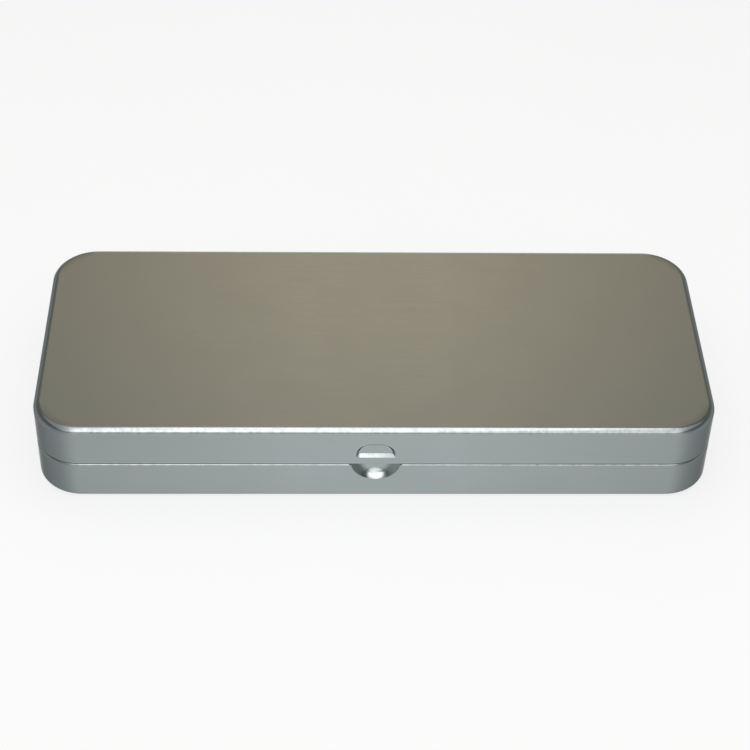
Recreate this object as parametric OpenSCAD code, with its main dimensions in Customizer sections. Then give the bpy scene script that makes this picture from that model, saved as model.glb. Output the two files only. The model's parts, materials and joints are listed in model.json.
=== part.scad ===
// Flat pencil tin: a drawn base and lid on two wire hinges, with a formed tray and a row of pencils.
// The origin is the middle of the underside. +Z is up, +X runs along the tin, and the front is at -Y.

/* [Tin] */
// Length of the closed tin
tin_l = 190; // [165:1:230]
// Width of the closed tin from front to back
tin_w = 80; // [70:1:120]
// Height of the closed tin
tin_h = 25; // [23:0.5:36]
// Radius of the four upright corners
corner_r = 13; // [9:0.5:20]
// Thickness of the tinplate
sheet = 0.3; // [0.2:0.02:0.36]
// Height of the base's shoulder, where the lid comes down
seam_z = 12.25; // [11.5:0.05:13]

/* [Lid] */
// Outer radius of the lid's top edge
lid_edge_r = 2; // [0.8:0.1:4]
// Height of the gap between the lid's edge and the shoulder
seam_gap = 0.25; // [0.1:0.05:0.4]
// Outer radius of the fold along the lid's edge
hem_r = 0.35; // [0.34:0.01:0.4]
// Height of the folded edge's inner leg
hem_leg = 1.2; // [0.6:0.1:1.4]
// Radius of the round ends of the snap dent in the lid's front
dent_r = 4; // [3:0.05:5]
// Distance of these ends' centres from the middle
dent_spread = 1.55; // [0.5:0.05:4]
// Height of the dent's centre over the shoulder
dent_rise = 3.75; // [3:0.05:4.5]
// Height of the dent's straight lower edge over the shoulder
dent_floor_rise = 2.85; // [2.7:0.05:3.6]
// Depth of the dent
dent_depth = 0.85; // [0.75:0.05:1.2]
// Angle between the wall and the dent's sides
dent_deg = 45; // [40:1:50]
// Radius of the bends at the dent's mouth and floor
dent_bend_r = 1; // [0.4:0.05:1.1]

/* [Base] */
// Outer radius of the base's bottom edge
base_edge_r = 1.3; // [0.8:0.1:3]
// Outer radius of the shoulder under the seam
shoulder_r = 0.9; // [0.4:0.05:1]
// Room between the lid's dent and the neck that it snaps over
snap_clear = 0.2; // [0.15:0.05:0.6]
// Height of the neck over the shoulder
neck_h = 5.65; // [4:0.05:6.2]
// Outer radius of the curl along the neck's rim
curl_r = 0.5; // [0.4:0.05:0.8]
// Width of the foot ring that the tin stands on
foot_w = 4; // [2:0.5:8]
// Height of the floor panel over the foot ring
foot_h = 0.6; // [0.3:0.1:1.2]
// Radius of the finger scoop at the front of the base
scoop_r = 7.1; // [6:0.1:9]
// Height of the scoop's centre over the shoulder
scoop_rise = 1.4; // [0.5:0.05:2]
// Depth of the scoop
scoop_depth = 2.3; // [2:0.05:3.5]
// Angle between the wall and the scoop's sides
scoop_deg = 45; // [40:1:60]
// Radius of the bend at the scoop's mouth
scoop_lip_r = 0.5; // [0.4:0.05:1.2]
// Radius of the bend at the scoop's floor
scoop_floor_r = 3.5; // [0.4:0.05:4]

/* [Hinges] */
// Distance of each hinge's middle from the near end of the tin
hinge_from_end = 40; // [32:1:60]
// Width of one hinge over its three knuckles
hinge_w = 24; // [16:0.5:34]
// Width of the middle knuckle, which belongs to the lid
lid_knuckle_w = 8; // [4:0.5:12]
// Gap between neighbouring knuckles
knuckle_gap = 0.2; // [0.1:0.05:0.4]
// Radius of the hinge wire
pin_r = 0.6; // [0.4:0.05:0.9]
// Room between the wire and the knuckles
pin_clear = 0.06; // [0.03:0.01:0.1]
// Radius of the wire's flattened ends
pin_head_r = 0.9; // [0.7:0.05:1.2]
// Thickness of the wire's flattened ends
pin_head_t = 0.4; // [0.3:0.05:0.8]
// Room around the knuckles in the walls
knuckle_clear = 0.25; // [0.2:0.05:0.5]

/* [Tray] */
// Thickness of the formed tray
tray_t = 0.5; // [0.3:0.05:0.8]
// Room between the tray and what it is lowered past
tray_clear = 0.2; // [0.15:0.05:0.6]
// Outer radius of the tray's top edge
tray_edge_r = 0.9; // [0.85:0.05:1.5]
// Width of the ridges between the grooves
ridge_w = 0.6; // [0.4:0.05:1]
// Radius of the finger trough across the grooves
trough_r = 12; // [8:0.5:14]
// Depth of the trough under the ridges
trough_depth = 7; // [4:0.25:7.5]
// Distance of the trough from the middle, towards the pencils' blunt ends
trough_x = 48; // [0:1:55]

/* [Pencils] */
// Room between a pencil's end and the end of the tray
pencil_end_room = 4.7; // [4.5:0.1:30]
// Width of a pencil across its flats
pencil_flats = 6.6; // [5.5:0.1:7.4]
// Gap between neighbouring pencils
pencil_gap = 0.25; // [0.2:0.05:1]
// Depth of the pencils' upper edges under the neck's rim
pencil_drop = 0.4; // [0.2:0.1:1.5]
// Radius of the coloured core
core_r = 1.5; // [1:0.05:1.9]
// Radius of the core's worn tip
tip_r = 0.3; // [0.15:0.05:0.6]
// Angle between a sharpened pencil's axis and its cone
sharp_deg = 11; // [9:0.5:15]
// Room around a pencil in its groove
groove_clear = 0.15; // [0.1:0.05:0.4]
// Room beyond each end of a pencil in its groove
groove_end_clear = 0.5; // [0.3:0.1:1]

/* [Hidden] */
$fn = 64;
// Overlap of solids that are one piece of metal, and reach of a cut beyond a face
bite = 0.01;
reach = 1;

lid_edge_z = seam_z + seam_gap;
neck_inset = sheet + dent_depth + snap_clear;
rim_z = seam_z + neck_h;
// Distance between a sheet's two faces, measured along the wall that it slopes inwards from at an angle
function slope_shift(deg) = sheet / sin(deg);

hinge_x = tin_l / 2 - hinge_from_end;
pin_y = tin_w / 2 + pin_r + pin_clear;
pin_z = seam_z;
knuckle_r = pin_r + pin_clear + sheet;
base_knuckle_w = (hinge_w - lid_knuckle_w) / 2 - knuckle_gap;
hinge_notch_w = hinge_w + 2 * (pin_head_t + knuckle_clear + knuckle_gap);

tray_inset = max(neck_inset + 2 * curl_r, scoop_depth + sheet) + tray_clear;
tray_l = tin_l - 2 * tray_inset;
tray_w = tin_w - 2 * tray_inset;
tray_r = corner_r - tray_inset;

pencil_l = tray_l - 2 * pencil_end_room;
corner_to_axis = pencil_flats / 2 / cos(30);
pitch = pencil_flats + pencil_gap;
pencil_z = rim_z - pencil_drop - corner_to_axis;
groove_r = corner_to_axis + groove_clear;
ridge_z = pencil_z - sqrt(pow(groove_r, 2) - pow((pitch - ridge_w) / 2, 2));
groove_l = pencil_l + 2 * groove_end_clear;
// The grooves' ends reach into the tray's round corners, which limits how many lie side by side
into_corner = max(0, tray_r + groove_end_clear - pencil_end_room);
bed_half = tray_w / 2 - tray_r + sqrt(pow(tray_r - tray_edge_r, 2) - pow(into_corner, 2));
pencils = floor((2 * bed_half + ridge_w) / pitch);
trough_half = tray_w / 2 - tray_edge_r - tray_t;
trough_z = ridge_z - trough_depth + trough_r;

// The wood stops a little short of the core's own cone, with a rim of this width
wood_rim = 0.12;
glue_line = 0.02;
core_cone_l = (core_r - tip_r) / tan(sharp_deg);
wood_end = pencil_l / 2 - core_cone_l;
wood_cone_l = (corner_to_axis + reach - core_r - wood_rim) / tan(sharp_deg);

pencil_colours = ["firebrick", "darkorange", "gold", "olivedrab", "seagreen",
                  "deepskyblue", "royalblue", "mediumpurple", "saddlebrown", "black"];
function pencil_colour(i) = pencil_colours[(i - 1) % len(pencil_colours)];
function pencil_y(i) = (i - (pencils + 1) / 2) * pitch;
function casing_name(i) = str("pencil_casing_", i);
function core_name(i) = str("pencil_core_", i);

// A rounded rectangle that stands for a plate
module rounded_plate(l, w, r, t) {
    linear_extrude(t) {
        square([l - 2 * r, w], center = true);
        square([l, w - 2 * r], center = true);
        for (sx = [-1, 1], sy = [-1, 1]) translate([sx * (l / 2 - r), sy * (w / 2 - r)]) circle(r);
    }
}

// Carries a wall's section around a rounded rectangle. The section's X is the distance outwards from the
// corners' centre, and its Y is the height.
module around(l, w, r) {
    for (side = [0:3]) {
        out = (side % 2 == 0 ? l : w) / 2 - r;
        along = (side % 2 == 0 ? w : l) / 2 - r;
        rotate([0, 0, 90 * side]) translate([out, along, 0]) {
            rotate([90, 0, 0]) linear_extrude(2 * along) children();
            rotate_extrude(angle = 90) children();
        }
    }
}

// The part of a round bend in a sheet that lies in one quadrant, counted from +X +Y anticlockwise
module bend(x, z, outer_r, t, quadrant) {
    translate([x, z]) intersection() {
        difference() {
            circle(outer_r);
            circle(outer_r - t);
        }
        rotate(90 * quadrant) square(outer_r + reach);
    }
}

// A straight stretch of sheet in a wall's section
module stretch(x0, z0, x1, z1) {
    translate([x0, z0]) square([x1 - x0, z1 - z0]);
}

// Points along a bend, from one angle to another
function bend_points(x, y, r, from, to, steps) =
    [for (i = [0:steps]) let (deg = from + (to - from) * i / steps) [x + r * cos(deg), y + r * sin(deg)]];

// The section of a dish pressed into a wall, from this far outside it. Its sides slope inwards at an angle,
// and turn into the wall and the floor over bends.
module dish_section(mouth_r, depth, deg, lip_r, floor_r, outside) {
    steps = 4;
    lip_x = mouth_r + lip_r * tan(deg / 2);
    floor_x = mouth_r - depth / tan(deg) - floor_r * tan(deg / 2);
    // The first step of the lip goes straight on outside the wall
    outer_x = lip_x + outside / tan(deg / 2 / steps);
    lip = bend_points(lip_x, lip_r, lip_r, 270, 270 - deg, steps);
    floor_bend = bend_points(floor_x, depth - floor_r, floor_r, 90 - deg, 90, steps);
    polygon(concat([[0, -outside], [outer_x, -outside]], [for (i = [1:steps]) lip[i]],
                   floor_bend, [[0, depth]]));
}

// Carries a dish's section around two round ends and along the straight stretches between them, in the front
// wall with its centre at a height
module front_dish(centre_z, spread) {
    translate([0, -tin_w / 2, centre_z]) rotate([-90, 0, 0]) for (end = [0, 1]) rotate([0, 0, 180 * end]) {
        translate([spread, 0, 0]) rotate([0, 0, -90]) rotate_extrude(angle = 180) children();
        if (spread > 0) translate([-spread, 0, 0]) rotate([90, 0, 90]) linear_extrude(2 * spread) children();
    }
}

// The hollow of a dish, and the sheet behind it up to the wall's outer face
module hollow_section(mouth_r, depth, deg, lip_r, floor_r) {
    dish_section(mouth_r, depth, deg, lip_r, floor_r, reach);
}

module metal_section(mouth_r, depth, deg, lip_r, floor_r) {
    dish_section(mouth_r + slope_shift(deg), depth + sheet, deg, lip_r - sheet, floor_r + sheet, 0);
}

// Everything above the dent's straight ledge, which rises inwards from the front wall at a height
module above_ledge(z) {
    side = 2 * tin_h;
    translate([0, -tin_w / 2, z]) rotate([90 - dent_deg, 0, 0])
        translate([-side / 2, -side / 2, 0]) cube(side);
}

// The lid's snap dent: a dish over a straight ledge, as a hollow and with its metal
module dent_hollow() {
    intersection() {
        front_dish(seam_z + dent_rise, dent_spread)
            hollow_section(dent_r, dent_depth, dent_deg, dent_bend_r, dent_bend_r);
        above_ledge(seam_z + dent_floor_rise);
    }
}

module dent_metal() {
    intersection() {
        front_dish(seam_z + dent_rise, dent_spread)
            metal_section(dent_r, dent_depth, dent_deg, dent_bend_r, dent_bend_r);
        above_ledge(seam_z + dent_floor_rise - slope_shift(dent_deg));
    }
}

// Cuts the scoop off at a height
module up_to(top_z) {
    width = 2 * (scoop_r + scoop_lip_r + reach);
    intersection() {
        children();
        translate([-width / 2, -tin_w / 2 - reach, 0])
            cube([width, reach + scoop_depth + 2 * sheet, top_z]);
    }
}

// The base's finger scoop, as a hollow and with its metal
module scoop_hollow() {
    front_dish(seam_z + scoop_rise, 0)
        hollow_section(scoop_r, scoop_depth, scoop_deg, scoop_lip_r, scoop_floor_r);
}

module scoop_metal() {
    front_dish(seam_z + scoop_rise, 0)
        metal_section(scoop_r, scoop_depth, scoop_deg, scoop_lip_r, scoop_floor_r);
}

// A cylinder along the hinge line
module on_hinge_line(x, r, w) {
    translate([x, pin_y, pin_z]) rotate([0, 90, 0]) cylinder(h = w, r = r, center = true);
}

// One rolled knuckle with the tongue that it is rolled from, between two heights of the back wall
module knuckle(x, w, z0, z1) {
    on_hinge_line(x, knuckle_r, w);
    translate([x - w / 2, tin_w / 2 - sheet, z0]) cube([w, sheet, z1 - z0]);
}

module hinge_bores() {
    for (side = [-1, 1]) on_hinge_line(side * hinge_x, pin_r + pin_clear, hinge_w + 2 * reach);
}

// The flat sheet between the centres of the corners
module middle_panel() {
    linear_extrude(sheet) square([tin_l - 2 * corner_r, tin_w - 2 * corner_r], center = true);
}

// The base's wall, from the floor panel over the foot ring, bottom edge and shoulder to the curled rim
module base_section() {
    foot_x = corner_r - base_edge_r - foot_w;
    neck_x = corner_r - neck_inset;
    stretch(0, foot_h, foot_x - foot_h, foot_h + sheet);
    polygon([[foot_x, 0], [foot_x, sheet], [foot_x - foot_h, foot_h + sheet], [foot_x - foot_h, foot_h]]);
    stretch(foot_x, 0, corner_r - base_edge_r, sheet);
    bend(corner_r - base_edge_r, base_edge_r, base_edge_r, sheet, 3);
    stretch(corner_r - sheet, base_edge_r, corner_r, seam_z - shoulder_r);
    bend(corner_r - shoulder_r, seam_z - shoulder_r, shoulder_r, sheet, 0);
    stretch(neck_x - sheet, seam_z - sheet, corner_r - shoulder_r, seam_z);
    stretch(neck_x - sheet, seam_z - sheet, neck_x, rim_z - curl_r);
    translate([neck_x - curl_r, rim_z - curl_r]) difference() {
        circle(curl_r);
        circle(curl_r - sheet);
    }
}

// The lid's wall, from the middle of its top over the edge to the fold at the seam
module lid_section() {
    fold_z = lid_edge_z + hem_r;
    stretch(0, tin_h - sheet, corner_r - lid_edge_r, tin_h);
    bend(corner_r - lid_edge_r, tin_h - lid_edge_r, lid_edge_r, sheet, 0);
    stretch(corner_r - sheet, fold_z, corner_r, tin_h - lid_edge_r);
    bend(corner_r - hem_r, fold_z, hem_r, sheet, 2);
    bend(corner_r - hem_r, fold_z, hem_r, sheet, 3);
    stretch(corner_r - 2 * hem_r, fold_z, corner_r - 2 * hem_r + sheet, fold_z + hem_leg);
}

// Drawn base with a foot ring, a finger scoop at the front and the outer knuckles of both hinges
module base_shell() {
    notch_z = pin_z - knuckle_r - knuckle_clear;
    roof_z = seam_z + sheet;
    color("silver") difference() {
        union() {
            difference() {
                union() {
                    around(tin_l, tin_w, corner_r) base_section();
                    translate([0, 0, foot_h]) middle_panel();
                    up_to(roof_z + sheet) scoop_metal();
                }
                up_to(roof_z) scoop_hollow();
                translate([-scoop_r - reach, -tin_w / 2 - reach, seam_z])
                    cube([2 * (scoop_r + reach), reach + neck_inset, 2 * sheet + reach]);
                for (side = [-1, 1])
                    translate([side * hinge_x - hinge_notch_w / 2, tin_w / 2 - neck_inset, notch_z])
                        cube([hinge_notch_w, neck_inset + reach, seam_z - notch_z + bite]);
            }
            for (side = [-1, 1], end = [-1, 1])
                knuckle(side * hinge_x + end * (hinge_w - base_knuckle_w) / 2, base_knuckle_w,
                        notch_z - bite, pin_z);
        }
        hinge_bores();
    }
}

// Drawn lid with a folded edge, a snap dent at the front and the middle knuckles of both hinges
module lid_shell() {
    notch_z = pin_z + knuckle_r + knuckle_clear;
    leg_top_z = lid_edge_z + hem_r + hem_leg;
    cut_z = lid_edge_z - reach;
    color("silver") difference() {
        union() {
            difference() {
                union() {
                    around(tin_l, tin_w, corner_r) lid_section();
                    translate([0, 0, tin_h - sheet]) middle_panel();
                    dent_metal();
                }
                dent_hollow();
                for (side = [-1, 1]) translate([side * hinge_x - hinge_notch_w / 2, 0, cut_z]) {
                    translate([0, tin_w / 2 - sheet - bite, 0])
                        cube([hinge_notch_w, sheet + bite + reach, notch_z - cut_z]);
                    translate([0, tin_w / 2 - 2 * hem_r - reach, 0])
                        cube([hinge_notch_w, 2 * hem_r + reach - sheet, leg_top_z + bite - cut_z]);
                }
            }
            for (side = [-1, 1]) knuckle(side * hinge_x, lid_knuckle_w, pin_z, notch_z + bite);
        }
        hinge_bores();
    }
}

// Wire of one hinge, with both ends flattened to keep it in
module hinge_pin(x) {
    color("lightgray") {
        on_hinge_line(x, pin_r, hinge_w + 2 * knuckle_gap + bite);
        for (end = [-1, 1])
            on_hinge_line(x + end * (hinge_w / 2 + knuckle_gap + pin_head_t / 2), pin_head_r, pin_head_t);
    }
}

module hinge_pin_left() {
    hinge_pin(-hinge_x);
}

module hinge_pin_right() {
    hinge_pin(hinge_x);
}

// Round grooves for the pencils up to a height, over a length centred on the tin
module grooves(r, l, top_z) {
    translate([-l / 2, 0, 0]) rotate([90, 0, 90]) linear_extrude(l) intersection() {
        for (i = [1:pencils]) translate([pencil_y(i), pencil_z]) circle(r);
        translate([-tray_w / 2, 0]) square([tray_w, top_z]);
    }
}

// Trough across the tray up to a height, where a finger gets under the pencils
module trough(r, half, top_z) {
    intersection() {
        translate([-trough_x, 0, trough_z]) rotate([90, 0, 0]) cylinder(h = 2 * half, r = r, center = true);
        translate([-tray_l / 2, -half, 0]) cube([tray_l, 2 * half, top_z]);
    }
}

// A plate in the tray's outline, this far inside it
module tray_plate(inset, t) {
    rounded_plate(tray_l - 2 * inset, tray_w - 2 * inset, tray_r - inset, t);
}

// Thin formed tray with a groove for each pencil, a rolled top edge and a skirt down to the foot ring
module pencil_tray() {
    color("#26272b") difference() {
        union() {
            around(tray_l, tray_w, tray_r) {
                bend(tray_r - tray_edge_r, ridge_z - tray_edge_r, tray_edge_r, tray_t, 0);
                stretch(tray_r - tray_t, sheet, tray_r, ridge_z - tray_edge_r);
            }
            translate([0, 0, ridge_z - tray_t]) tray_plate(tray_edge_r, tray_t);
            intersection() {
                grooves(groove_r + tray_t, groove_l + 2 * tray_t, ridge_z - tray_t + bite);
                tray_plate(tray_edge_r / 2, ridge_z);
            }
            trough(trough_r + tray_t, trough_half + tray_t, ridge_z);
        }
        grooves(groove_r, groove_l, ridge_z + reach);
        trough(trough_r, trough_half, ridge_z + reach);
    }
}

// Hexagonal wood casing with a sharpened cone. The cone scallops the ends of the flats.
module pencil_casing(i) {
    color(pencil_colour(i)) translate([0, pencil_y(i), pencil_z]) rotate([0, 90, 0]) difference() {
        intersection() {
            translate([0, 0, -pencil_l / 2])
                cylinder(h = pencil_l / 2 + wood_end, r = corner_to_axis, $fn = 6);
            union() {
                translate([0, 0, -pencil_l / 2 - reach])
                    cylinder(h = pencil_l / 2 + reach + wood_end - wood_cone_l, r = corner_to_axis + reach);
                translate([0, 0, wood_end - wood_cone_l])
                    cylinder(h = wood_cone_l, r1 = corner_to_axis + reach, r2 = core_r + wood_rim);
            }
        }
        cylinder(h = pencil_l + 2 * reach, r = core_r, center = true);
    }
}

// Coloured core, flush with the blunt end and sharpened to a worn tip
module pencil_core(i) {
    body_r = core_r - glue_line;
    color(pencil_colour(i)) translate([-pencil_l / 2, pencil_y(i), pencil_z]) rotate([0, 90, 0]) {
        cylinder(h = pencil_l / 2 + wood_end, r = body_r);
        translate([0, 0, pencil_l / 2 + wood_end]) cylinder(h = core_cone_l, r1 = body_r, r2 = tip_r);
    }
}

base_shell();
lid_shell();
hinge_pin_left();
hinge_pin_right();
pencil_tray();
for (i = [1:pencils]) {
    pencil_casing(i);
    pencil_core(i);
}
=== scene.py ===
import json
import math

import bpy
from bpy.props import FloatProperty, FloatVectorProperty, PointerProperty
from mathutils import Matrix, Vector


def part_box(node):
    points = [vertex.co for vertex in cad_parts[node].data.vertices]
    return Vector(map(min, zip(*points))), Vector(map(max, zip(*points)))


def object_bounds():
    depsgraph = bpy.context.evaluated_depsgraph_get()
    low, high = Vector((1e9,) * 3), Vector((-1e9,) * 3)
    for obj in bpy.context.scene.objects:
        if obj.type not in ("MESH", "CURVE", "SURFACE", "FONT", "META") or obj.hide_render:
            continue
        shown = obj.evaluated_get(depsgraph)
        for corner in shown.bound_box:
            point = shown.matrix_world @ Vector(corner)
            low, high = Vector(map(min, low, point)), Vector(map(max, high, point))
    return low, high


bl_info = {
    "name": "Pencil Tin",
    "version": (1, 0, 0),
    "blender": (4, 5, 0),
    "location": "View3D > Sidebar > Pencil Tin",
    "description": "Finishes a flat hinged pencil tin with its tray and pencils, and sets up a studio",
    "category": "Object",
}

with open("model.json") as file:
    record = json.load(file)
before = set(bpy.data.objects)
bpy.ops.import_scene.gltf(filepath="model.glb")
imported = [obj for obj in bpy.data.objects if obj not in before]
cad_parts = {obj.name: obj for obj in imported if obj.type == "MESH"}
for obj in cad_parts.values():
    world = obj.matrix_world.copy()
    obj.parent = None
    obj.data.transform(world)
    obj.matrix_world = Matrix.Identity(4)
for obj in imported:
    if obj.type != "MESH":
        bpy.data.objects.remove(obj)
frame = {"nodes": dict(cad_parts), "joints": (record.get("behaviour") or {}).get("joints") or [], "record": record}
cad_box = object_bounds()

MM = 0.001
SLOT_OF = {part["node"]: part["material_slot"] for part in frame["record"]["subparts"]}
RECORD_COLOUR = {m["slot"]: tuple(m["base_color"]) for m in frame["record"]["materials"]}

# Nodes of the frame that get a finish
SHELLS = ("base_shell", "lid_shell")
HINGE_PINS = ("hinge_pin_left", "hinge_pin_right")
TRAY = "pencil_tray"
CASINGS = sorted(n for n in frame["nodes"] if n.startswith("pencil_casing_"))
CORES = sorted(n for n in frame["nodes"] if n.startswith("pencil_core_"))

# Outer walls of the tin, as distances from its middle, and the radius of its corners seen from above
HALF_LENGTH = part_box("base_shell")[1][0]
FRONT = -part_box("base_shell")[0][1]
CORNER_R = 13 * MM

# Stretch along the tin over which painted shade darkens the sheet, from the middle to the ends
END_SHADE_FROM = 20 * MM
END_SHADE_TO = 95 * MM

# Dent in the lid's front: its half width, the heights around it, and the Z of the normal between which its
# upper crease, which gets painted light, starts and is in full
DENT_SIDE = 7 * MM
DENT_LOW = 13 * MM
DENT_HIGH = 20 * MM
CREASE_UNDER = (-0.1, -0.4)

# Lower ledge of the dent: its stretch with a painted highlight, with the soft borders of that, the place from
# which that highlight is weaker, and how much weaker it is at its right. Beyond the stretch the ledge gets
# painted shade.
LEDGE_LEFT = -4.5 * MM
LEDGE_RIGHT = 5.4 * MM
LEFT_BORDER = 0.2 * MM
RIGHT_BORDER = 0.3 * MM
LEDGE_FADES = -0.5 * MM
LEDGE_HIGHLIGHT_LOSS = 0.95

# Finger scoop in the base's front: its half width, the heights around it, and the depths at which it starts
SCOOP_SIDE = 7.3 * MM
SCOOP_LOW = 3 * MM
SCOOP_TOP = 12.1 * MM
SCOOP_SKIN = 0.03 * MM
SCOOP_IN = 0.25 * MM

# Flanks of the scoop, which get painted shade: how far they lean apart with height, the width over which they
# fade in, the distance from the middle at which each has its full shade, and how much paler the right one is
FLANK_LEAN = 0.5
FLANK_FADE = 1.2 * MM
FLANK_SWAP = 2 * MM
RIGHT_FLANK = 1.5

# Spot in the scoop that gets a painted highlight: its height, half width and half height, and where it ends
# and where it is in full, as the square of a distance that is 1 on its outline
HIGHLIGHT_SPOT_Z = 7.9 * MM
HIGHLIGHT_SPOT_W = 2.3 * MM
HIGHLIGHT_SPOT_H = 1.2 * MM
HIGHLIGHT_SPOT_BORDER = (1.3, 0.6)

# Edges of the sheet. The long edges get a painted highlight, and the short ones, at the ends and round the
# corners, painted shade. Each pair holds the lean at which an edge isn't marked, and the lean at which it is in
# full. The lean is 0 on an upright wall and 1 on a flat panel. The last pair is for how far a wall faces an
# end of the tin, from 0 on the front to 1 at the end.
LONG_EDGE_FROM = (0.35, 0.62)
LONG_EDGE_TO = (0.999, 0.95)
SHORT_EDGE_FROM = (0.02, 0.3)
SHORT_EDGE_TO = (0.9995, 0.985)
SHORT_EDGE_TURN = (0.15, 0.5)

# Painted shade on the corners' bends: the distances from the corner's centre at which it is absent and in full
CORNER_SHADE_RIM = (0.7 * CORNER_R, 0.97 * CORNER_R)

# Smallest distance, and smallest share of a direction, that a division is made by
TINY = 0.001 * MM
SMALLEST_DEPTH = 0.001

# Values between which nearly all of a noise lies, and those between which it turns one colour into another
NOISE_LOW = 0.3
NOISE_HIGH = 0.7
COLOUR_TURN = (0.35, 0.65)

# Lean of a pencil's surface towards its ends beyond which the wood is bare
BARE_LEAN = 0.08

# Soft lamps, level above the tin: their turn about the vertical in degrees, places and sizes
LAMP_TURN = -12.0
SOFT_LAMP_PLACE = (-0.03, -0.26, 0.46)
SOFT_LAMP_SIZE = (0.90, 0.94)
KEY_LAMP_PLACE = (-0.03, -0.155, 0.45)
KEY_LAMP_SIZE = (0.28, 0.72)

# Parts of the world's light. Each pair holds where a part is absent and where it is full, as the X, Y or Z
# of a direction of length 1, or for the backdrop as its slope, which is height over depth.
FRONT_FROM_Y = (-0.25, -0.85)
CEILING_FROM_Z = (0.72, 0.95)
HORIZON_FROM_Z = (0.42, 0.18)
BACKDROP_FOOT = (0.1, 0.5)
BACKDROP_TOP = (2.2, 1.2)
BACKDROP_STEP = (0.89, 0.95)
BACKDROP_ABOVE_STEP = 0.5
BACKDROP_MIDDLE = 0.04
BACKDROP_FALLOFF = 7.0

# Camera: the point that it looks at, its distance, its angles in degrees, its lens and sensor in millimetres,
# its shift as a share of the picture, and the nearest and farthest that it sees
CAMERA_TARGET = (0.704 * MM, 0.0, 10 * MM)
CAMERA_DISTANCE = 568.517 * MM
CAMERA_PITCH = 42.09
CAMERA_YAW = -2.298
CAMERA_ROLL = 1.658
CAMERA_LENS = 92.83
CAMERA_SENSOR = 36.0
CAMERA_SHIFT = -0.0008
CAMERA_CLIP = (0.01, 50.0)

# Gap that keeps the floor clear of what lies on it
FLOOR_GAP = 0.05 * MM


def colour_property(name, default, description):
    """A colour that a user would change."""
    return FloatVectorProperty(
        name=name, description=description, default=default, size=3, min=0.0, max=1.0, subtype="COLOR"
    )


def roughness_property(description, default):
    """A roughness that a user would change."""
    return FloatProperty(name="Roughness", description=description, default=default, min=0.02, max=1.0)


def power_property(name, description, default):
    """The power of a lamp in watts."""
    return FloatProperty(
        name=name, description=description, default=default, min=0.0, max=100.0, unit="POWER"
    )


class TinplateSettings(bpy.types.PropertyGroup):
    """Finish of the tin's sheet metal, with its painted highlights and painted shade"""

    colour: colour_property("Colour", (0.368, 0.411, 0.411), "Reflected colour of the tinplate")
    cloud: colour_property("Clouding", (0.355, 0.397, 0.397), "Duller clouds in the tinplate")
    # Painted shade: the sheet turns darker towards both ends of the tin
    ends: colour_property("Ends", (0.285, 0.318, 0.318), "Duller ends of the tin")
    # Painted shade on the corners' bends, the short edges and the ends of the dent's ledge
    drawn: colour_property("Drawn corners", (0.175, 0.197, 0.2), "Sheet that is drawn round a corner")
    # Painted highlight along the long rolled edges
    rubbed: colour_property("Rubbed edges", (0.57, 0.61, 0.61), "Long rolled edges, rubbed bright")
    # Painted highlight on a spot in the scoop, and painted light in the dent's upper crease
    thumbed: colour_property("Thumbed scoop", (0.85, 0.90, 0.90), "Scoop where fingers rub it")
    # Painted shade on the scoop's flanks
    flank: colour_property("Scoop flanks", (0.11, 0.135, 0.13), "Dull flanks of the scoop")
    edge: colour_property("Edge tint", (0.5, 0.5, 0.5), "What is left of a reflection at a glancing angle")
    roughness: roughness_property("How far the satin finish blurs a reflection", 0.17)
    grain: FloatProperty(
        name="Grain size", description="Size of the grain in the satin finish",
        default=0.4 * MM, min=0.05 * MM, max=2 * MM, unit="LENGTH", precision=5,
    )
    grain_depth: FloatProperty(
        name="Grain depth", description="Height of the grain",
        default=0.008 * MM, min=0.0, max=0.05 * MM, unit="LENGTH", precision=6,
    )


class WireSettings(bpy.types.PropertyGroup):
    """Finish of the hinge wires"""

    colour: colour_property("Colour", RECORD_COLOUR["hinge_wire"], "Reflected colour of the wire")
    roughness: roughness_property("Roughness of the drawn wire", 0.2)


class TraySettings(bpy.types.PropertyGroup):
    """Finish of the formed tray"""

    colour: colour_property("Colour", RECORD_COLOUR["tray_plastic"], "Colour of the tray's plastic")
    roughness: roughness_property("Roughness of the tray's plastic", 0.42)


class PencilSettings(bpy.types.PropertyGroup):
    """Colours of the pencils, from the front of the tin to the back"""

    red: colour_property("Red", RECORD_COLOUR["lacquer_red"], "First pencil")
    orange: colour_property("Orange", RECORD_COLOUR["lacquer_orange"], "Second pencil")
    yellow: colour_property("Yellow", RECORD_COLOUR["lacquer_yellow"], "Third pencil")
    light_green: colour_property("Light green", RECORD_COLOUR["lacquer_light_green"], "Fourth pencil")
    green: colour_property("Green", RECORD_COLOUR["lacquer_green"], "Fifth pencil")
    light_blue: colour_property("Light blue", RECORD_COLOUR["lacquer_light_blue"], "Sixth pencil")
    blue: colour_property("Blue", RECORD_COLOUR["lacquer_blue"], "Seventh pencil")
    violet: colour_property("Violet", RECORD_COLOUR["lacquer_violet"], "Eighth pencil")
    brown: colour_property("Brown", RECORD_COLOUR["lacquer_brown"], "Ninth pencil")
    black: colour_property("Black", RECORD_COLOUR["lacquer_black"], "Tenth pencil")
    wood_light: colour_property("Light wood", (0.72, 0.49, 0.29), "Pale wood between the growth lines")
    wood_dark: colour_property("Dark wood", (0.50, 0.29, 0.15), "Growth lines of the wood")


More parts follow.
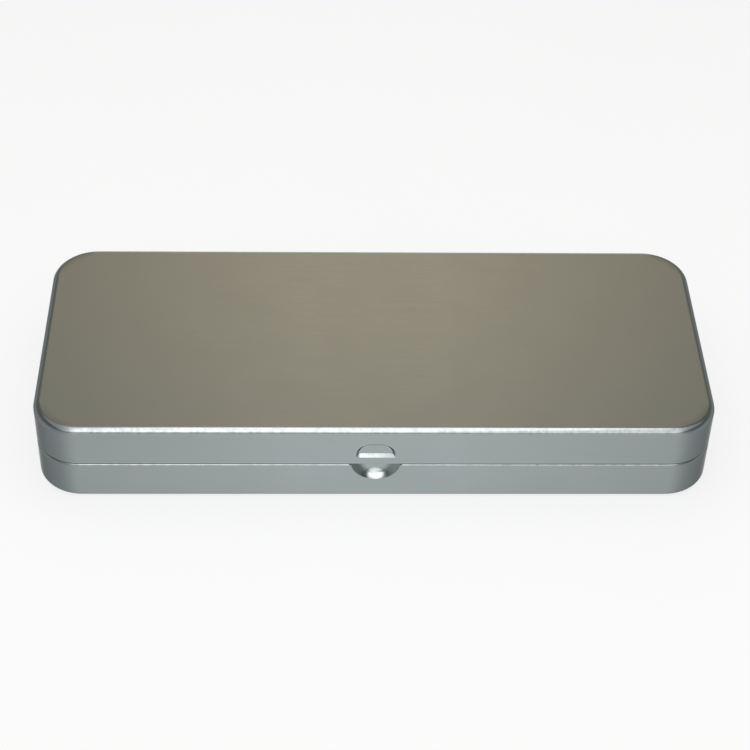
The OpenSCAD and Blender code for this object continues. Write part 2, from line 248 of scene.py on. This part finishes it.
class StudioSettings(bpy.types.PropertyGroup):
    """Floor and light around the tin"""

    floor: colour_property("Floor", (0.88, 0.90, 0.90), "Colour of the pale floor")
    floor_lift: FloatProperty(
        name="Floor lift", description="Share of the floor that shows white, whatever light falls on it",
        default=0.77, min=0.0, max=1.0, subtype="FACTOR",
    )
    floor_size: FloatProperty(
        name="Floor size", description="Side of the square floor",
        default=12.0, min=1.0, max=50.0, unit="LENGTH",
    )
    lamp_power: power_property("Lamp power", "Power of the large soft lamp over the tin", 1.85)
    key_power: power_property("Key power", "Power of the smaller soft lamp over the tin's middle", 0.5)
    horizon: colour_property("Horizon", (0.87, 0.88, 0.875), "Light from low down all round the tin")
    room: colour_property("Room", (0.37, 0.375, 0.345), "Light from the sides of the room")
    front: colour_property("Front", (0.42, 0.43, 0.43), "Light from the front of the room")
    ceiling: colour_property("Ceiling", (0.30, 0.30, 0.29), "Light from the ceiling")
    backdrop: colour_property("Backdrop", (0.855, 0.70, 0.525), "Light from the backdrop behind the tin")


def is_socket(value):
    """Whether a value is the output of a node."""
    return isinstance(value, bpy.types.NodeSocket)


def set_inputs(tree, node, inputs):
    """Sets each input of a node to a value, or links it to the output of another node."""
    for key, value in inputs.items():
        if is_socket(value):
            tree.links.new(value, node.inputs[key])
        else:
            node.inputs[key].default_value = value


def add_node(tree, kind, inputs=None, **settings):
    """A shader node with its options and inputs."""
    node = tree.nodes.new(kind)
    for name, value in settings.items():
        setattr(node, name, value)
    set_inputs(tree, node, inputs or {})
    return node


def rgba(colour):
    """A colour with full alpha, as a node takes it."""
    return (*colour, 1.0)


def scaled_colour(colour, factor, lift=0.0):
    """A colour made darker or paler, and lifted from black."""
    return tuple(min(1.0, factor * c + lift) for c in colour)


def math_node(tree, operation, *terms):
    """The result of one Math node. Its terms are numbers or the outputs of other nodes."""
    return add_node(tree, "ShaderNodeMath", dict(enumerate(terms)), operation=operation).outputs[0]


def product(tree, *factors):
    """Numbers or outputs of nodes multiplied together."""
    result = factors[0]
    for factor in factors[1:]:
        result = math_node(tree, "MULTIPLY", result, factor)
    return result


def inverse(tree, mask):
    """A mask with its 0 and 1 changed over."""
    return math_node(tree, "SUBTRACT", 1.0, mask)


def between(tree, value, low, high):
    """1 where a value lies between two limits, and 0 elsewhere."""
    above = math_node(tree, "GREATER_THAN", value, low)
    below = math_node(tree, "LESS_THAN", value, high)
    return product(tree, above, below)


def weighted(tree, a, b, share):
    """The mean of two values, in which the first has this share."""
    return math_node(tree, "ADD", product(tree, a, share), product(tree, b, 1.0 - share))


def remap(tree, value, from_low, from_high, to_low, to_high):
    """A value carried from one range to another, and held at its ends."""
    return add_node(
        tree, "ShaderNodeMapRange",
        {"Value": value, "From Min": from_low, "From Max": from_high, "To Min": to_low, "To Max": to_high},
        clamp=True,
    ).outputs["Result"]


def ramp(tree, value, absent, full):
    """A mask that rises evenly from 0 at one value to 1 at another, whichever of the two is larger."""
    return remap(tree, value, absent, full, 0.0, 1.0)


def soften(tree, mask):
    """A mask with a soft start and a soft end."""
    return add_node(
        tree, "ShaderNodeMapRange", {"Value": mask}, clamp=True, interpolation_type="SMOOTHSTEP"
    ).outputs["Result"]


def mix_value(tree, mask, a, b):
    """The first value where the mask is 0, and the second where it is 1."""
    return add_node(tree, "ShaderNodeMix", {0: mask, 2: a, 3: b}, data_type="FLOAT").outputs[0]


def mix_colour(tree, mask, a, b):
    """The first colour where the mask is 0, and the second where it is 1."""
    a, b = (side if is_socket(side) else rgba(side) for side in (a, b))
    return add_node(
        tree, "ShaderNodeMix", {0: mask, 6: a, 7: b}, data_type="RGBA", clamp_factor=True
    ).outputs[2]


def split(tree, vector):
    """The X, Y and Z of a vector."""
    return tuple(add_node(tree, "ShaderNodeSeparateXYZ", {0: vector}).outputs)


def noise(tree, coordinates, feature, detail=2.0, stretch=(1.0, 1.0, 1.0), offset=(0.0, 0.0, 0.0)):
    """Noise with features of a real size in metres, drawn out along the axes by the stretch."""
    scaled = add_node(
        tree, "ShaderNodeMapping",
        {"Vector": coordinates, "Location": offset, "Scale": tuple(1.0 / (feature * s) for s in stretch)},
    ).outputs["Vector"]
    return add_node(
        tree, "ShaderNodeTexNoise", {"Vector": scaled, "Scale": 1.0, "Detail": detail, "Roughness": 0.55}
    ).outputs["Fac"]


def follow(tree, pattern, low, high):
    """A value that follows a noise, from low to high."""
    return remap(tree, pattern, NOISE_LOW, NOISE_HIGH, low, high)


def bump(tree, height, depth):
    """The normal over relief of a real depth in metres, where the height runs from 0 to 1."""
    return add_node(
        tree, "ShaderNodeBump", {"Height": height, "Distance": depth, "Strength": 1.0}
    ).outputs["Normal"]


def new_material(name):
    """A material with its node tree, its shader and the coordinates of the piece that it is on."""
    material = bpy.data.materials.new(name)
    material.use_nodes = True
    tree = material.node_tree
    tree.nodes.clear()
    output = add_node(tree, "ShaderNodeOutputMaterial")
    shader = add_node(tree, "ShaderNodeBsdfPrincipled")
    tree.links.new(shader.outputs["BSDF"], output.inputs["Surface"])
    coordinates = add_node(tree, "ShaderNodeTexCoord").outputs["Object"]
    return material, tree, shader, coordinates


def dress(node_name, material):
    """Puts a material on a part of the frame in place of the plain one that it came with."""
    node = frame["nodes"][node_name]
    node.data.materials.clear()
    node.data.materials.append(material)


def corner_shade(tree, along, across):
    """Painted shade on the corners: 1 in the middle of each upright corner's bend, and 0 on the flat walls."""
    beyond_x, beyond_y = (
        math_node(tree, "MAXIMUM", math_node(tree, "SUBTRACT", outwards, reach - CORNER_R), TINY)
        for outwards, reach in ((along, HALF_LENGTH), (across, FRONT))
    )
    square = math_node(tree, "ADD", product(tree, beyond_x, beyond_x), product(tree, beyond_y, beyond_y))
    turned = product(tree, math_node(tree, "DIVIDE", product(tree, beyond_x, beyond_y), square), 2.0)
    rim = ramp(tree, math_node(tree, "SQRT", square), *CORNER_SHADE_RIM)
    return product(tree, soften(tree, turned), rim)


def rolled_edges(tree, normal):
    """Masks of the long edges and of the short ones, where the sheet leans between flat and upright. The long
    edges get a painted highlight, and the short ones painted shade.
    """
    normal_x, _, normal_z = split(tree, normal)
    lean = math_node(tree, "ABSOLUTE", normal_z)
    level = math_node(tree, "SQRT", math_node(tree, "SUBTRACT", 1.0001, product(tree, lean, lean)))
    turned = math_node(tree, "DIVIDE", math_node(tree, "ABSOLUTE", normal_x), level)
    short = ramp(tree, turned, *SHORT_EDGE_TURN)
    rolled = product(tree, ramp(tree, lean, *LONG_EDGE_FROM), ramp(tree, lean, *LONG_EDGE_TO))
    bent = product(tree, ramp(tree, lean, *SHORT_EDGE_FROM), ramp(tree, lean, *SHORT_EDGE_TO))
    return product(tree, rolled, inverse(tree, short)), product(tree, bent, short)


def dent_marks(tree, normal, sideways, along, height):
    """Masks of the lid's dent: its upper crease, for painted light, the ends of its lower ledge, for painted
    shade, and the part of the ledge where the painted highlight is weaker.

    In the crease the sheet turns under itself. The ledge's painted highlight is strongest at its left, and weaker
    to its right.
    """
    near = product(
        tree, math_node(tree, "LESS_THAN", along, DENT_SIDE), between(tree, height, DENT_LOW, DENT_HIGH)
    )
    under = ramp(tree, split(tree, normal)[2], *CREASE_UNDER)
    middle = product(
        tree, ramp(tree, sideways, LEDGE_LEFT - LEFT_BORDER, LEDGE_LEFT),
        ramp(tree, sideways, LEDGE_RIGHT + RIGHT_BORDER, LEDGE_RIGHT),
    )
    weaker_highlight = remap(tree, sideways, LEDGE_FADES, LEDGE_RIGHT, 0.0, LEDGE_HIGHLIGHT_LOSS)
    return product(tree, under, near), product(tree, near, inverse(tree, middle)), product(tree, near, weaker_highlight)


def scoop_marks(tree, along, across, height):
    """Masks of the finger scoop: all of it, its flanks for painted shade, and the spot for a painted highlight."""
    inside = product(
        tree, ramp(tree, across, FRONT - SCOOP_SKIN, FRONT - SCOOP_IN),
        between(tree, height, SCOOP_LOW, SCOOP_TOP), math_node(tree, "LESS_THAN", along, SCOOP_SIDE),
    )
    above_spot = math_node(tree, "SUBTRACT", height, HIGHLIGHT_SPOT_Z)
    outwards = math_node(tree, "SUBTRACT", along, product(tree, above_spot, FLANK_LEAN))
    flanks = ramp(tree, outwards, HIGHLIGHT_SPOT_W, HIGHLIGHT_SPOT_W + FLANK_FADE)
    aside = math_node(tree, "DIVIDE", along, HIGHLIGHT_SPOT_W)
    up = math_node(tree, "DIVIDE", above_spot, HIGHLIGHT_SPOT_H)
    away = math_node(tree, "ADD", product(tree, aside, aside), product(tree, up, up))
    thumbed = ramp(tree, away, *HIGHLIGHT_SPOT_BORDER)
    return inside, product(tree, inside, flanks), product(tree, inside, thumbed)


def tinplate_material(settings):
    """Satin tinplate with faint clouds, fine grain and lines along the sheet. Painted highlights lie on the long
    edges and a spot in the scoop, painted light in the dent's crease, and painted shade towards the ends, on
    the corners, the short edges, the ledge's ends and the scoop's flanks.
    """
    material, tree, shader, coordinates = new_material("satin_tinplate")
    normal = coordinates.node.outputs["Normal"]
    sideways, inwards, height = split(tree, coordinates)
    along = math_node(tree, "ABSOLUTE", sideways)
    across = math_node(tree, "ABSOLUTE", inwards)
    clouds = noise(tree, coordinates, feature=14 * MM, detail=3.0)
    grain = noise(tree, coordinates, feature=settings.grain, detail=3.0)
    lines = noise(tree, coordinates, feature=0.5 * MM, stretch=(60.0, 1.0, 1.0))
    patches = remap(tree, noise(tree, coordinates, feature=1.6 * MM, detail=4.0), 0.35, 0.6, 0.5, 1.0)
    long_edges, short_edge_shade = rolled_edges(tree, normal)
    crease, ledge_end_shade, weaker_highlight = dent_marks(tree, normal, sideways, along, height)
    scoop, flanks, thumbed = scoop_marks(tree, along, across, height)
    # Where the painted highlight on the long edges is left out or weaker
    no_edge_highlight = math_node(tree, "MAXIMUM", scoop, weaker_highlight)
    # Painted shade for the scoop's flanks, paler on the right
    flank = mix_colour(
        tree, ramp(tree, sideways, -FLANK_SWAP, FLANK_SWAP),
        settings.flank, scaled_colour(settings.flank, RIGHT_FLANK),
    )
    cloudy = ramp(tree, weighted(tree, clouds, lines, share=0.6), 0.4, 0.6)
    colour = mix_colour(tree, cloudy, settings.colour, settings.cloud)
    layers = (
        # Painted shade, darker towards both ends of the tin
        (ramp(tree, along, END_SHADE_FROM, END_SHADE_TO), settings.ends),
        # Painted highlight along the long rolled edges, in patches
        (product(tree, long_edges, patches, inverse(tree, no_edge_highlight)), settings.rubbed),
        # Painted shade on the rolled edges at the ends of the dent's ledge
        (product(tree, long_edges, ledge_end_shade), settings.drawn),
        # Painted light in the dent's upper crease
        (crease, settings.thumbed),
        # Painted shade on the corners' bends
        (corner_shade(tree, along, across), settings.drawn),
        # Painted shade on the short edges, at the ends and round the corners
        (short_edge_shade, settings.drawn),
        # Painted shade on the scoop's flanks
        (flanks, flank),
        # Painted highlight on the spot in the scoop
        (thumbed, settings.thumbed),
    )
    for mask, tint in layers:
        colour = mix_colour(tree, mask, colour, tint)
    texture = weighted(tree, grain, lines, share=0.7)
    set_inputs(tree, shader, {
        "Base Color": colour,
        "Roughness": follow(tree, texture, settings.roughness * 0.8, settings.roughness * 1.25),
        "Metallic": 1.0,
        "Specular Tint": rgba(settings.edge),
        "Normal": bump(tree, texture, settings.grain_depth),
    })
    return material


def wire_material(settings):
    """Drawn steel wire with lines along it."""
    material, tree, shader, coordinates = new_material("drawn_wire")
    lines = noise(tree, coordinates, feature=0.12 * MM, stretch=(40.0, 1.0, 1.0))
    dull = scaled_colour(settings.colour, factor=0.85)
    set_inputs(tree, shader, {
        "Base Color": mix_colour(tree, ramp(tree, lines, *COLOUR_TURN), settings.colour, dull),
        "Roughness": follow(tree, lines, settings.roughness * 0.8, settings.roughness * 1.3),
        "Metallic": 1.0,
        "Normal": bump(tree, lines, depth=0.003 * MM),
    })
    return material


def tray_material(settings):
    """Formed black plastic with a faint satin texture, and paler patches in its colour."""
    material, tree, shader, coordinates = new_material("formed_tray_plastic")
    skin = noise(tree, coordinates, feature=0.6 * MM, detail=4.0)
    patches = noise(tree, coordinates, feature=18 * MM)
    paler = scaled_colour(settings.colour, factor=1.6, lift=0.004)
    set_inputs(tree, shader, {
        "Base Color": mix_colour(tree, ramp(tree, patches, 0.35, 0.7), settings.colour, paler),
        "Roughness": follow(tree, skin, settings.roughness * 0.85, settings.roughness * 1.2),
        "IOR": 1.53,
        "Normal": bump(tree, skin, depth=0.012 * MM),
    })
    return material


def casing_material(name, lacquer, settings):
    """Lacquered wood. The lacquer covers the six flats, and the cone and the cut end are bare."""
    material, tree, shader, coordinates = new_material(f"pencil_{name}")
    grain = noise(tree, coordinates, feature=0.5 * MM, detail=4.0, stretch=(24.0, 1.0, 1.0))
    rings = noise(tree, coordinates, feature=1.6 * MM, stretch=(14.0, 1.0, 1.0), offset=(3.0, 1.0, 2.0))
    growth = ramp(tree, weighted(tree, grain, rings, share=0.5), 0.36, 0.64)
    wood = mix_colour(tree, growth, settings.wood_light, settings.wood_dark)
    mottle = ramp(tree, noise(tree, coordinates, feature=5 * MM, stretch=(3.0, 1.0, 1.0)), *COLOUR_TURN)
    coat = mix_colour(tree, mottle, lacquer, scaled_colour(lacquer, factor=0.88))
    normal = add_node(tree, "ShaderNodeNewGeometry").outputs["True Normal"]
    endways = math_node(tree, "ABSOLUTE", split(tree, normal)[0])
    bare = math_node(tree, "GREATER_THAN", endways, BARE_LEAN)
    peel = noise(tree, coordinates, feature=0.9 * MM, stretch=(3.0, 1.0, 1.0))
    gloss = follow(tree, peel, 0.16, 0.24)
    dry = follow(tree, grain, 0.55, 0.75)
    relief = mix_value(tree, bare, product(tree, peel, 0.25), grain)
    set_inputs(tree, shader, {
        "Base Color": mix_colour(tree, bare, coat, wood),
        "Roughness": mix_value(tree, bare, gloss, dry),
        "IOR": 1.5,
        "Normal": bump(tree, relief, depth=0.02 * MM),
    })
    return material


def core_material(name, pigment):
    """Waxy pigment with a fine granular skin."""
    material, tree, shader, coordinates = new_material(f"core_{name}")
    grit = noise(tree, coordinates, feature=0.15 * MM, detail=3.0)
    streaks = noise(tree, coordinates, feature=0.4 * MM, stretch=(5.0, 1.0, 1.0))
    pale = scaled_colour(pigment, factor=1.15, lift=0.015)
    set_inputs(tree, shader, {
        "Base Color": mix_colour(tree, ramp(tree, streaks, *COLOUR_TURN), pigment, pale),
        "Roughness": follow(tree, grit, 0.42, 0.62),
        "Normal": bump(tree, grit, depth=0.01 * MM),
    })
    return material


class FinishShells(bpy.types.Operator):
    """Gives the base and the lid their satin tinplate"""

    bl_idname = "pencil_tin.finish_shells"
    bl_label = "Finish Shells"

    def execute(self, context):
        material = tinplate_material(context.scene.tinplate)
        for name in SHELLS:
            dress(name, material)
        return {"FINISHED"}


class FinishHingePins(bpy.types.Operator):
    """Gives the two hinge wires their drawn steel"""

    bl_idname = "pencil_tin.finish_hinge_pins"
    bl_label = "Finish Hinge Pins"

    def execute(self, context):
        material = wire_material(context.scene.hinge_wire)
        for name in HINGE_PINS:
            dress(name, material)
        return {"FINISHED"}


class FinishTray(bpy.types.Operator):
    """Gives the tray its formed plastic"""

    bl_idname = "pencil_tin.finish_tray"
    bl_label = "Finish Tray"

    def execute(self, context):
        dress(TRAY, tray_material(context.scene.tray))
        return {"FINISHED"}


class FinishPencils(bpy.types.Operator):
    """Gives each pencil its lacquer, bare wood and coloured core"""

    bl_idname = "pencil_tin.finish_pencils"
    bl_label = "Finish Pencils"

    def execute(self, context):
        if not CASINGS or len(CASINGS) != len(CORES):
            raise RuntimeError("Each pencil in the frame needs a casing and a core")
        settings = context.scene.pencils
        for casing in CASINGS:
            name = SLOT_OF[casing].removeprefix("lacquer_")
            dress(casing, casing_material(name, tuple(getattr(settings, name)), settings))
        for core in CORES:
            name = SLOT_OF[core].removeprefix("core_")
            dress(core, core_material(name, tuple(getattr(settings, name))))
        return {"FINISHED"}


def floor_material(settings):
    """Pale matt floor with a very faint mottle. Seen straight or in a reflection, a share of it is white."""
    material, tree, shader, coordinates = new_material("pale_floor")
    mottle = ramp(tree, noise(tree, coordinates, feature=60 * MM), *COLOUR_TURN)
    set_inputs(tree, shader, {
        "Base Color": mix_colour(tree, mottle, settings.floor, scaled_colour(settings.floor, factor=0.985)),
        "Roughness": 0.9,
        "Specular IOR Level": 0.1,
    })
    rays = add_node(tree, "ShaderNodeLightPath").outputs
    seen = rays["Is Camera Ray"]
    for kind in ("Is Glossy Ray", "Is Transmission Ray"):
        seen = math_node(tree, "MAXIMUM", seen, rays[kind])
    white = add_node(tree, "ShaderNodeEmission", {"Color": rgba((1.0, 1.0, 1.0)), "Strength": 1.0}).outputs[0]
    share = product(tree, seen, settings.floor_lift)
    lifted = add_node(tree, "ShaderNodeMixShader", {0: share, 1: shader.outputs[0], 2: white}).outputs[0]
    tree.links.new(lifted, tree.get_output_node("ALL").inputs["Surface"])
    return material


def floor_height():
    """Just under the foot ring, or under the lid's flat if that lies lower when the lid is open."""
    hinge_z = frame["joints"][0]["pos_m"][2]
    open_flat = 2 * hinge_z - cad_box[1][2]
    return min(0.0, open_flat) - FLOOR_GAP


def make_floor(settings):
    """A square floor under the tin."""
    half = settings.floor_size / 2
    height = floor_height()
    corners = [(x, y, height) for x, y in ((-half, -half), (half, -half), (half, half), (-half, half))]
    mesh = bpy.data.meshes.new("floor")
    mesh.from_pydata(corners, [], [(0, 1, 2, 3)])
    mesh.materials.append(floor_material(settings))
    floor = bpy.data.objects.new("floor", mesh)
    bpy.context.scene.collection.objects.link(floor)


def make_lamp(name, power, place, size):
    """A rectangular soft lamp that hangs level, turned about the vertical. The camera doesn't see it."""
    light = bpy.data.lights.new(name, "AREA")
    light.shape = "RECTANGLE"
    light.size, light.size_y = size
    light.energy = power
    lamp = bpy.data.objects.new(name, light)
    bpy.context.scene.collection.objects.link(lamp)
    lamp.location = place
    lamp.rotation_euler = (0.0, 0.0, math.radians(LAMP_TURN))
    lamp.visible_camera = False


def make_world(settings):
    """A dim room with a pale horizon, and a warm backdrop behind the tin that is fainter above a step."""
    world = bpy.data.worlds.new("studio")
    bpy.context.scene.world = world
    world.use_nodes = True
    tree = world.node_tree
    tree.nodes.clear()
    output = add_node(tree, "ShaderNodeOutputWorld")
    x, y, z = split(tree, add_node(tree, "ShaderNodeTexCoord").outputs["Generated"])
    depth = math_node(tree, "MAXIMUM", y, SMALLEST_DEPTH)
    slope = math_node(tree, "DIVIDE", z, depth)
    aside = math_node(tree, "SUBTRACT", math_node(tree, "DIVIDE", x, depth), BACKDROP_MIDDLE)
    falloff = math_node(tree, "ADD", 1.0, product(tree, aside, aside, BACKDROP_FALLOFF))
    backdrop = product(
        tree, math_node(tree, "DIVIDE", 1.0, falloff),
        remap(tree, slope, *BACKDROP_STEP, 1.0, BACKDROP_ABOVE_STEP),
        ramp(tree, slope, *BACKDROP_FOOT), ramp(tree, slope, *BACKDROP_TOP),
    )
    colour = mix_colour(tree, ramp(tree, y, *FRONT_FROM_Y), settings.room, settings.front)
    colour = mix_colour(tree, backdrop, colour, settings.backdrop)
    colour = mix_colour(tree, ramp(tree, z, *CEILING_FROM_Z), colour, settings.ceiling)
    colour = mix_colour(tree, ramp(tree, z, *HORIZON_FROM_Z), colour, settings.horizon)
    background = add_node(tree, "ShaderNodeBackground", {"Color": colour, "Strength": 1.0})
    tree.links.new(background.outputs[0], output.inputs["Surface"])


def make_camera():
    """A long lens in front of the tin and above it, turned and rolled a little."""
    pitch, yaw, roll = (math.radians(angle) for angle in (CAMERA_PITCH, CAMERA_YAW, CAMERA_ROLL))
    back = Vector((math.sin(yaw) * math.cos(pitch), -math.cos(yaw) * math.cos(pitch), math.sin(pitch)))
    right = Vector((0, 0, 1)).cross(back).normalized()
    up = back.cross(right)
    rolled_right = right * math.cos(roll) + up * math.sin(roll)
    rolled_up = up * math.cos(roll) - right * math.sin(roll)
    data = bpy.data.cameras.new("camera")
    data.sensor_width = CAMERA_SENSOR
    data.lens = CAMERA_LENS
    data.shift_y = CAMERA_SHIFT
    data.clip_start, data.clip_end = CAMERA_CLIP
    camera = bpy.data.objects.new("camera", data)
    bpy.context.scene.collection.objects.link(camera)
    axes = Matrix((rolled_right, rolled_up, back)).transposed().to_4x4()
    camera.matrix_world = Matrix.Translation(Vector(CAMERA_TARGET) + back * CAMERA_DISTANCE) @ axes
    bpy.context.scene.camera = camera


class BuildStudio(bpy.types.Operator):
    """Makes the pale floor, the soft light and the camera"""

    bl_idname = "pencil_tin.build_studio"
    bl_label = "Build Studio"

    def execute(self, context):
        settings = context.scene.studio
        make_floor(settings)
        make_world(settings)
        make_lamp("soft_lamp", settings.lamp_power, SOFT_LAMP_PLACE, SOFT_LAMP_SIZE)
        make_lamp("key_lamp", settings.key_power, KEY_LAMP_PLACE, KEY_LAMP_SIZE)
        make_camera()
        context.scene.view_settings.view_transform = "Standard"
        return {"FINISHED"}


OPERATORS = (FinishShells, FinishHingePins, FinishTray, FinishPencils, BuildStudio)
SETTINGS = {
    "tinplate": TinplateSettings,
    "hinge_wire": WireSettings,
    "tray": TraySettings,
    "pencils": PencilSettings,
    "studio": StudioSettings,
}


class PencilTinPanel(bpy.types.Panel):
    """The steps of the pencil tin and their settings"""

    bl_idname = "VIEW3D_PT_pencil_tin"
    bl_label = "Pencil Tin"
    bl_space_type = "VIEW_3D"
    bl_region_type = "UI"
    bl_category = "Pencil Tin"

    def draw(self, context):
        for operator in OPERATORS:
            self.layout.operator(operator.bl_idname)
        for name, group in SETTINGS.items():
            box = self.layout.box()
            box.label(text=group.__doc__)
            settings = getattr(context.scene, name)
            for key in group.__annotations__:
                box.prop(settings, key)


def register():
    for group in SETTINGS.values():
        bpy.utils.register_class(group)
    for cls in (*OPERATORS, PencilTinPanel):
        bpy.utils.register_class(cls)
    for name, group in SETTINGS.items():
        setattr(bpy.types.Scene, name, PointerProperty(type=group))


def unregister():
    for name in SETTINGS:
        delattr(bpy.types.Scene, name)
    for cls in (PencilTinPanel, *reversed(OPERATORS)):
        bpy.utils.unregister_class(cls)
    for group in reversed(SETTINGS.values()):
        bpy.utils.unregister_class(group)


def main():
    register()
    bpy.ops.pencil_tin.finish_shells()
    bpy.ops.pencil_tin.finish_hinge_pins()
    bpy.ops.pencil_tin.finish_tray()
    bpy.ops.pencil_tin.finish_pencils()
    bpy.ops.pencil_tin.build_studio()


if __name__ == "__main__":
    main()
